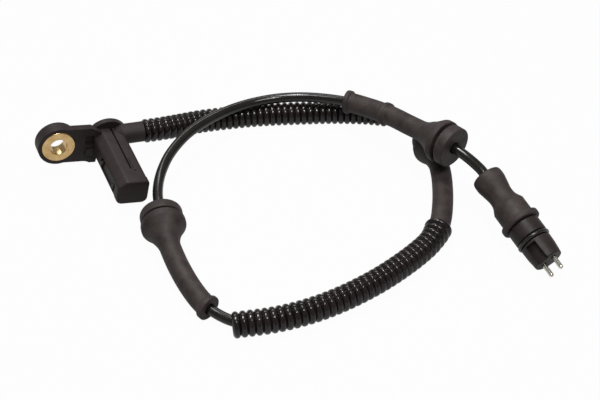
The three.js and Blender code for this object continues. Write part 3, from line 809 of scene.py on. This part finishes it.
def plug_seal():
    """The seal ring in its groove between collar and nose."""
    section = circle(seal_centre, (collar_end + seal_end) / 2, SEAL_RADIUS, 20)
    return turned("plug_seal_skin", section, 96, in_frame(PLUG))


def plug_pin(name, side):
    """A round contact with a domed tip."""
    tip_start = nose_end + PIN_REACH - PIN_TIP
    outline = [(0.0, nose_end - PIN_DEPTH), (PIN_RADIUS, nose_end - PIN_DEPTH)]
    for step in range(PIN_TIP_STEPS):
        angle = math.pi / 2 * step / PIN_TIP_STEPS
        outline.append((PIN_RADIUS * math.cos(angle), tip_start + PIN_TIP * math.sin(angle)))
    outline.append((0.0, tip_start + PIN_TIP))
    return turned(name, outline, 32, in_frame(pin_frame(side)))


boot = plug_boot()
body = plug_body()
seal = plug_seal()
pins = [plug_pin("plug_pin_1_skin", -1), plug_pin("plug_pin_2_skin", 1)]


# Sensor head
def web_outline():
    """The web between boss and tower, with a foot that runs down beside the tower."""
    start = -EAR_PITCH + (BOSS_RADIUS**2 - WEB_HALF**2) ** 0.5 - WEB_OVERLAP
    foot = -WEB_HALF - WEB_FOOT_DEPTH
    foot_bend = bend(
        (-TOWER_LEFT - WEB_FOOT_START, -WEB_HALF),
        (-TOWER_LEFT - WEB_FOOT_BEND, -WEB_HALF),
        (-TOWER_LEFT - WEB_FOOT_END, foot),
        steps=8,
    )
    return [
        (start, WEB_HALF),
        (start, -WEB_HALF),
        *foot_bend,
        (-TOWER_LEFT + WEB_FOOT_UNDER, foot),
        (-TOWER_LEFT + WEB_ROOT_UNDER, -TOWER_BOTTOM + WEB_ROOT_SINK),
        (-TOWER_LEFT + RIDGE_WIDTH, TOWER_TOP - WEB_ROOT_SINK),
        (-FLANGE_RADIUS + WEB_TOP_UNDER, WEB_HALF),
    ]


def tower_section(grow=0.0):
    """The tower's section: round corners, and a slope on the ear's side of the top."""
    left, right = -TOWER_LEFT - grow, TOWER_RIGHT + grow
    top, bottom = TOWER_TOP + grow, -TOWER_BOTTOM - grow
    slope = rounded_run([
        (left + RIDGE_WIDTH + RIDGE_GUIDE, top),
        (left + RIDGE_WIDTH, top),
        (left, top - RIDGE_HEIGHT),
        (left, top - RIDGE_HEIGHT - RIDGE_GUIDE),
    ], RIDGE_ROUND, steps=6)
    return [
        *arc(right - TOWER_FOOT_ROUND, bottom + TOWER_FOOT_ROUND, TOWER_FOOT_ROUND, -90, 0),
        *arc(right - TOWER_TOP_ROUND, top - TOWER_TOP_ROUND, TOWER_TOP_ROUND, 0, 90),
        *slope,
        *arc(left + TOWER_FOOT_ROUND, bottom + TOWER_FOOT_ROUND, TOWER_FOOT_ROUND, 180, 270),
    ]


def panel_outline():
    """The side panel's rounded rectangle."""
    front, back = PANEL_FRONT + PANEL_ROUND, PANEL_BACK - PANEL_ROUND
    bottom, top = PANEL_BOTTOM + PANEL_ROUND, PANEL_TOP - PANEL_ROUND
    return [
        *arc(back, bottom, PANEL_ROUND, -90, 0),
        *arc(back, top, PANEL_ROUND, 0, 90),
        *arc(front, top, PANEL_ROUND, 90, 180),
        *arc(front, bottom, PANEL_ROUND, 180, 270),
    ]


def sensor_tower():
    """The tower with its top slot and rib, and the panel with two pips in its side."""
    tower = prism(tower_section(), -TOWER_LENGTH, -JOINT)
    slot_length = TOWER_LENGTH - FLANGE_THICKNESS - SLOT_END_MARGIN
    slot_middle = (SLOT_PLACE, -FLANGE_THICKNESS - slot_length / 2, TOWER_TOP)
    cut(tower, box((SLOT_WIDTH, slot_length, 2 * SLOT_DEPTH), HEAD @ Matrix.Translation(slot_middle)))
    rib_front = -TOWER_LENGTH + SLOT_END_MARGIN - TOP_RIB_PAST_SLOT
    rib_middle = (TOP_RIB_PLACE, rib_front + TOP_RIB_LENGTH / 2, TOWER_TOP)
    rib_size = (TOP_RIB_WIDTH, TOP_RIB_LENGTH, 2 * TOP_RIB_HEIGHT)
    add(tower, box(rib_size, HEAD @ Matrix.Translation(rib_middle)))
    panel_floor = -TOWER_LEFT + PANEL_DEPTH
    cut(tower, side_prism(panel_outline(), -TOWER_LEFT - OVERSHOOT, panel_floor))
    for y in (PANEL_BACK - PIP_INSET, PANEL_FRONT + PIP_INSET):
        pip = circle(y, (PANEL_TOP + PANEL_BOTTOM) / 2, PIP_RADIUS, 24)
        add(tower, side_prism(pip, -TOWER_LEFT - PIP_PROUD, panel_floor + PIP_ROOT))
    return tower


def on_web(size, place):
    """A box at a place in x, z, as deep in the web's front face as it is proud of it."""
    width, depth, height = size
    x, z = place
    return box((width, 2 * depth, height), HEAD @ Matrix.Translation((x, -BOSS_THICKNESS, z)))


def sensor_housing():
    """Boss, web, flange disc, tower and neck as one moulding."""
    housing = cylinder("sensor_housing_skin", EAR, BOSS_RADIUS, -BOSS_THICKNESS, 0, sides=96)
    add(housing, prism(web_outline(), -BOSS_THICKNESS, -BOSS_THICKNESS + WEB_THICKNESS))
    hole_ends = (-BOSS_THICKNESS - OVERSHOOT, OVERSHOOT)
    cut(housing, cylinder("tool", EAR, BUSH_RADIUS + FIT, *hole_ends, sides=90))
    flange = HEAD @ Matrix.Translation((FLANGE_SHIFT, 0, 0))
    add(housing, cylinder("tool", flange, FLANGE_RADIUS, -FLANGE_THICKNESS, 0, sides=96))
    cut(housing, on_web(POCKET_SIZE, POCKET_PLACE))
    add(housing, sensor_tower())
    add(housing, on_web(BLOCK_SIZE, BLOCK_PLACE))
    neck = NECK @ Matrix.Rotation(-math.pi / 2, 4, "Z")
    root_ends = (NECK_ROOT_START, NECK_ROOT_END)
    add(housing, cylinder("tool", neck, NECK_RADIUS, *root_ends, sides=64, start_radius=NECK_ROOT_RADIUS))
    neck_ends = (NECK_ROOT_END - NECK_OVERLAP, NECK_LENGTH)
    add(housing, cylinder("tool", neck, NECK_RADIUS, *neck_ends, sides=64))
    soften(housing, HOUSING_EDGE)
    return housing


def nose_cap():
    """The tower's end piece, round at the front edge, with a step across its face."""
    rings = [head_ring(tower_section(CAP_PROUD), -TOWER_LENGTH - JOINT)]
    for step in range(CAP_ROUND_STEPS + 1):
        turn = math.pi / 2 * step / CAP_ROUND_STEPS
        depth = CAP_ROUND * (1 - math.sin(turn))
        inset = CAP_ROUND * (1 - math.cos(turn))
        rings.append(head_ring(tower_section(CAP_PROUD - inset), cap_front + depth))
    cap = loft("nose_cap_skin", rings)
    step_middle = (0, cap_front, CAP_STEP_HEIGHT - TOWER_TOP)
    step_size = (3 * TOWER_RIGHT, 2 * CAP_STEP_DEPTH, 2 * TOWER_TOP)
    cut(cap, box(step_size, HEAD @ Matrix.Translation(step_middle)))
    soften(cap, CAP_EDGE, angle=50, segments=2)
    return cap


def mounting_bush():
    """The metal bush in the ear, a little proud of it at both ends."""
    outline = rounded([
        (BUSH_HOLE_RADIUS, -BOSS_THICKNESS - BUSH_PROUD),
        (BUSH_RADIUS, -BOSS_THICKNESS - BUSH_PROUD),
        (BUSH_RADIUS, BUSH_PROUD),
        (BUSH_HOLE_RADIUS, BUSH_PROUD),
    ], BUSH_ROUND)
    return turned("mounting_bush_skin", outline, 128, in_frame(EAR))


housing = sensor_housing()
cap = nose_cap()
bush = mounting_bush()


# Materials
class Finish:
    """A node material built on one Principled shader, varied by noise."""

    def __init__(self, name, **sockets):
        self.material = bpy.data.materials.new(name)
        self.material.use_nodes = True
        self.tree = self.material.node_tree
        self.shader = self.tree.nodes["Principled BSDF"]
        for socket, value in sockets.items():
            self.shader.inputs[socket.replace("_", " ")].default_value = value
        self.coordinates = self.tree.nodes.new("ShaderNodeTexCoord")

    def join(self, output, socket):
        self.tree.links.new(output, socket)

    def noise(self, scale, detail=4.0, roughness=0.55):
        node = self.tree.nodes.new("ShaderNodeTexNoise")
        node.inputs["Scale"].default_value = scale
        node.inputs["Detail"].default_value = detail
        node.inputs["Roughness"].default_value = roughness
        self.join(self.coordinates.outputs["Object"], node.inputs["Vector"])
        return node.outputs["Fac"]

    def colour(self, source, low, high):
        node = self.tree.nodes.new("ShaderNodeValToRGB")
        first, last = node.color_ramp.elements
        first.position = 0.3
        first.color = (*low, 1)
        last.position = 0.7
        last.color = (*high, 1)
        self.join(source, node.inputs["Fac"])
        self.join(node.outputs["Color"], self.shader.inputs["Base Color"])

    def roughness(self, source, low, high):
        node = self.tree.nodes.new("ShaderNodeMapRange")
        node.inputs["To Min"].default_value = low
        node.inputs["To Max"].default_value = high
        self.join(source, node.inputs["Value"])
        self.join(node.outputs["Result"], self.shader.inputs["Roughness"])

    def bump(self, source, distance, strength):
        node = self.tree.nodes.new("ShaderNodeBump")
        node.inputs["Distance"].default_value = distance
        node.inputs["Strength"].default_value = strength
        previous = self.shader.inputs["Normal"].links
        if previous:
            self.join(previous[0].from_socket, node.inputs["Normal"])
        self.join(source, node.inputs["Height"])
        self.join(node.outputs["Normal"], self.shader.inputs["Normal"])


def matt(name, low, high, roughness, grain=2600.0, grain_depth=0.00003):
    """Plastic or rubber with a fine grain."""
    finish = Finish(name, Roughness=roughness[0], Specular_IOR_Level=0.25)
    finish.colour(finish.noise(170.0, detail=8.0, roughness=0.65), low, high)
    finish.roughness(finish.noise(320.0, detail=5.0), *roughness)
    finish.bump(finish.noise(420.0, detail=4.0, roughness=0.6), 2 * grain_depth, strength=0.6)
    finish.bump(finish.noise(grain, detail=3.0, roughness=0.6), grain_depth, strength=0.6)
    return finish.material


def glossy(name, low, high, roughness):
    """Extruded plastic with a thin shine."""
    finish = Finish(
        name,
        Roughness=roughness[0],
        Specular_IOR_Level=0.3,
        Coat_Weight=0.25,
        Coat_Roughness=0.1,
    )
    finish.colour(finish.noise(120.0, detail=5.0), low, high)
    finish.roughness(finish.noise(400.0, detail=4.0, roughness=0.6), *roughness)
    finish.bump(finish.noise(700.0, detail=3.0, roughness=0.6), 0.00003, strength=0.35)
    return finish.material


def metal(name, low, high, roughness):
    """Bare or plated metal with faint marks."""
    finish = Finish(name, Metallic=1.0, Roughness=roughness[0])
    finish.colour(finish.noise(300.0, detail=5.0, roughness=0.6), low, high)
    finish.roughness(finish.noise(900.0, detail=5.0, roughness=0.6), *roughness)
    finish.bump(finish.noise(900.0, detail=4.0, roughness=0.6), 0.00001, strength=0.4)
    return finish.material


moulding = matt("moulding", (0.0162, 0.0108, 0.0104), (0.025, 0.018, 0.0175), (0.44, 0.58))
rubber = matt("rubber", (0.0195, 0.014, 0.013), (0.048, 0.037, 0.035), (0.46, 0.68), 3200.0, 0.00005)
plug_moulding = matt("plug_moulding", (0.016, 0.011, 0.0105), (0.025, 0.018, 0.0175), (0.38, 0.54))
conduit_skin = glossy("conduit_skin", (0.0065, 0.0038, 0.0038), (0.014, 0.0085, 0.0085), (0.12, 0.24))
cable_skin = glossy("cable_skin", (0.006, 0.0045, 0.0035), (0.012, 0.0095, 0.0075), (0.14, 0.24))
seal_skin = glossy("seal_skin", (0.012, 0.009, 0.009), (0.02, 0.016, 0.016), (0.18, 0.28))
bush_metal = metal("bush_metal", (0.6, 0.39, 0.16), (0.84, 0.6, 0.3), (0.1, 0.24))
pin_metal = metal("pin_metal", (0.62, 0.59, 0.52), (0.86, 0.82, 0.73), (0.1, 0.2))
iron = metal("iron", (0.25, 0.24, 0.23), (0.4, 0.39, 0.37), (0.3, 0.5))
copper = metal("copper", (0.5, 0.22, 0.1), (0.75, 0.38, 0.18), (0.2, 0.35))
plated = metal("plated_metal", (0.6, 0.55, 0.45), (0.8, 0.74, 0.62), (0.15, 0.3))
nylon = matt("nylon", (0.34, 0.3, 0.22), (0.46, 0.41, 0.32), (0.4, 0.55))
core_skin = matt("core_skin", (0.1, 0.08, 0.065), (0.16, 0.13, 0.1), (0.3, 0.45))

# Pieces inside the head and the plug, which keep their solids
inner_finish = {
    "pole_piece": iron,
    "magnet": iron,
    "coil_bobbin": nylon,
    "coil_winding": copper,
    "terminal_1": plated,
    "terminal_2": plated,
    "head_core_1": core_skin,
    "head_core_2": core_skin,
    "plug_core_1": core_skin,
    "plug_core_2": core_skin,
}
for node_name, material in inner_finish.items():
    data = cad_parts[node_name].data
    data.materials.clear()
    data.materials.append(material)

# Pieces in view, each with the node it stands for, its material and its slot
visual = [
    (cable, "cable", cable_skin, "cable_skin"),
    (conduit_one, "conduit_1", conduit_skin, "conduit"),
    (conduit_two, "conduit_2", conduit_skin, "conduit"),
    (grommets[0], "grommet_3", rubber, "rubber"),
    (grommets[1], "grommet_1", rubber, "rubber"),
    (grommets[2], "grommet_2", rubber, "rubber"),
    (boot, "plug_boot", rubber, "rubber"),
    (body, "plug_body", plug_moulding, "plug_moulding"),
    (seal, "plug_seal", seal_skin, "seal"),
    (pins[0], "plug_pin_1", pin_metal, "pin_metal"),
    (pins[1], "plug_pin_2", pin_metal, "pin_metal"),
    (housing, "sensor_housing", moulding, "moulding"),
    (cap, "nose_cap", moulding, "moulding"),
    (bush, "mounting_bush", bush_metal, "bush_metal"),
]
for piece, node_name, material, slot_name in visual:
    piece.data.materials.clear()
    piece.data.materials.append(material)
    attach(piece, "root")
    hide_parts(node_name)

tuple(cable_points[0])

# Floor: white to the camera, dimmer in reflections, grey to all other light
FLOOR_HALF = 3.0
FLOOR_GREY = (0.35, 0.35, 0.35, 1)
FLOOR_GLOW_SHARE = 0.97
FLOOR_MIRRORED_SHARE = 0.4
corners = [(-FLOOR_HALF, -FLOOR_HALF, 0), (FLOOR_HALF, -FLOOR_HALF, 0)]
corners += [(FLOOR_HALF, FLOOR_HALF, 0), (-FLOOR_HALF, FLOOR_HALF, 0)]
floor_mesh = bpy.data.meshes.new("floor")
floor_mesh.from_pydata(corners, [], [(0, 1, 2, 3)])
floor = bpy.data.objects.new("floor", floor_mesh)
scene.collection.objects.link(floor)
floor_finish = bpy.data.materials.new("floor")
floor_finish.use_nodes = True
floor_mesh.materials.append(floor_finish)
tree = floor_finish.node_tree
tree.nodes.clear()
lit = tree.nodes.new("ShaderNodeBsdfDiffuse")
lit.inputs["Color"].default_value = FLOOR_GREY
glow = tree.nodes.new("ShaderNodeEmission")
glow.inputs["Strength"].default_value = 1.0
seen = tree.nodes.new("ShaderNodeMixShader")
seen.inputs["Fac"].default_value = FLOOR_GLOW_SHARE
path = tree.nodes.new("ShaderNodeLightPath")
mirrored = tree.nodes.new("ShaderNodeMath")
mirrored.operation = "MULTIPLY"
mirrored.inputs[1].default_value = FLOOR_MIRRORED_SHARE
either = tree.nodes.new("ShaderNodeMath")
either.operation = "MAXIMUM"
choice = tree.nodes.new("ShaderNodeMixShader")
output = tree.nodes.new("ShaderNodeOutputMaterial")
links = [
    (lit.outputs[0], seen.inputs[1]),
    (glow.outputs[0], seen.inputs[2]),
    (path.outputs["Is Glossy Ray"], mirrored.inputs[0]),
    (path.outputs["Is Camera Ray"], either.inputs[0]),
    (mirrored.outputs[0], either.inputs[1]),
    (either.outputs[0], choice.inputs["Fac"]),
    (lit.outputs[0], choice.inputs[1]),
    (seen.outputs[0], choice.inputs[2]),
    (choice.outputs[0], output.inputs["Surface"]),
]
for source, socket in links:
    tree.links.new(source, socket)

# World and lamps
WORLD_STRENGTH = 0.27
LAMP_TARGET = Vector((0.08, -0.05, 0.01))
world = bpy.data.worlds.new("world")
scene.world = world
world.use_nodes = True
world.node_tree.nodes["Background"].inputs["Color"].default_value = (1, 1, 1, 1)
world.node_tree.nodes["Background"].inputs["Strength"].default_value = WORLD_STRENGTH


def lamp(name, place, size, power):
    """An area lamp that looks at the middle of the harness."""
    data = bpy.data.lights.new(name, "AREA")
    data.shape = "RECTANGLE"
    data.size, data.size_y = size
    data.energy = power
    aimed(name, data, Vector(place), LAMP_TARGET)


lamp("key", place=(0.0, 0.08, 0.8), size=(0.34, 0.24), power=3.5)
lamp("front", place=(0.14, -0.42, 0.72), size=(0.34, 0.2), power=2.1)
lamp("back", place=(0.12, 0.55, 0.6), size=(0.6, 0.12), power=1.3)
lamp("glint", place=(0.02, 0.14, 0.8), size=(0.05, 0.05), power=1.0)
lamp("front_glint", place=(0.08, -0.36, 0.76), size=(0.06, 0.06), power=0.8)

scene.view_settings.view_transform = "Standard"
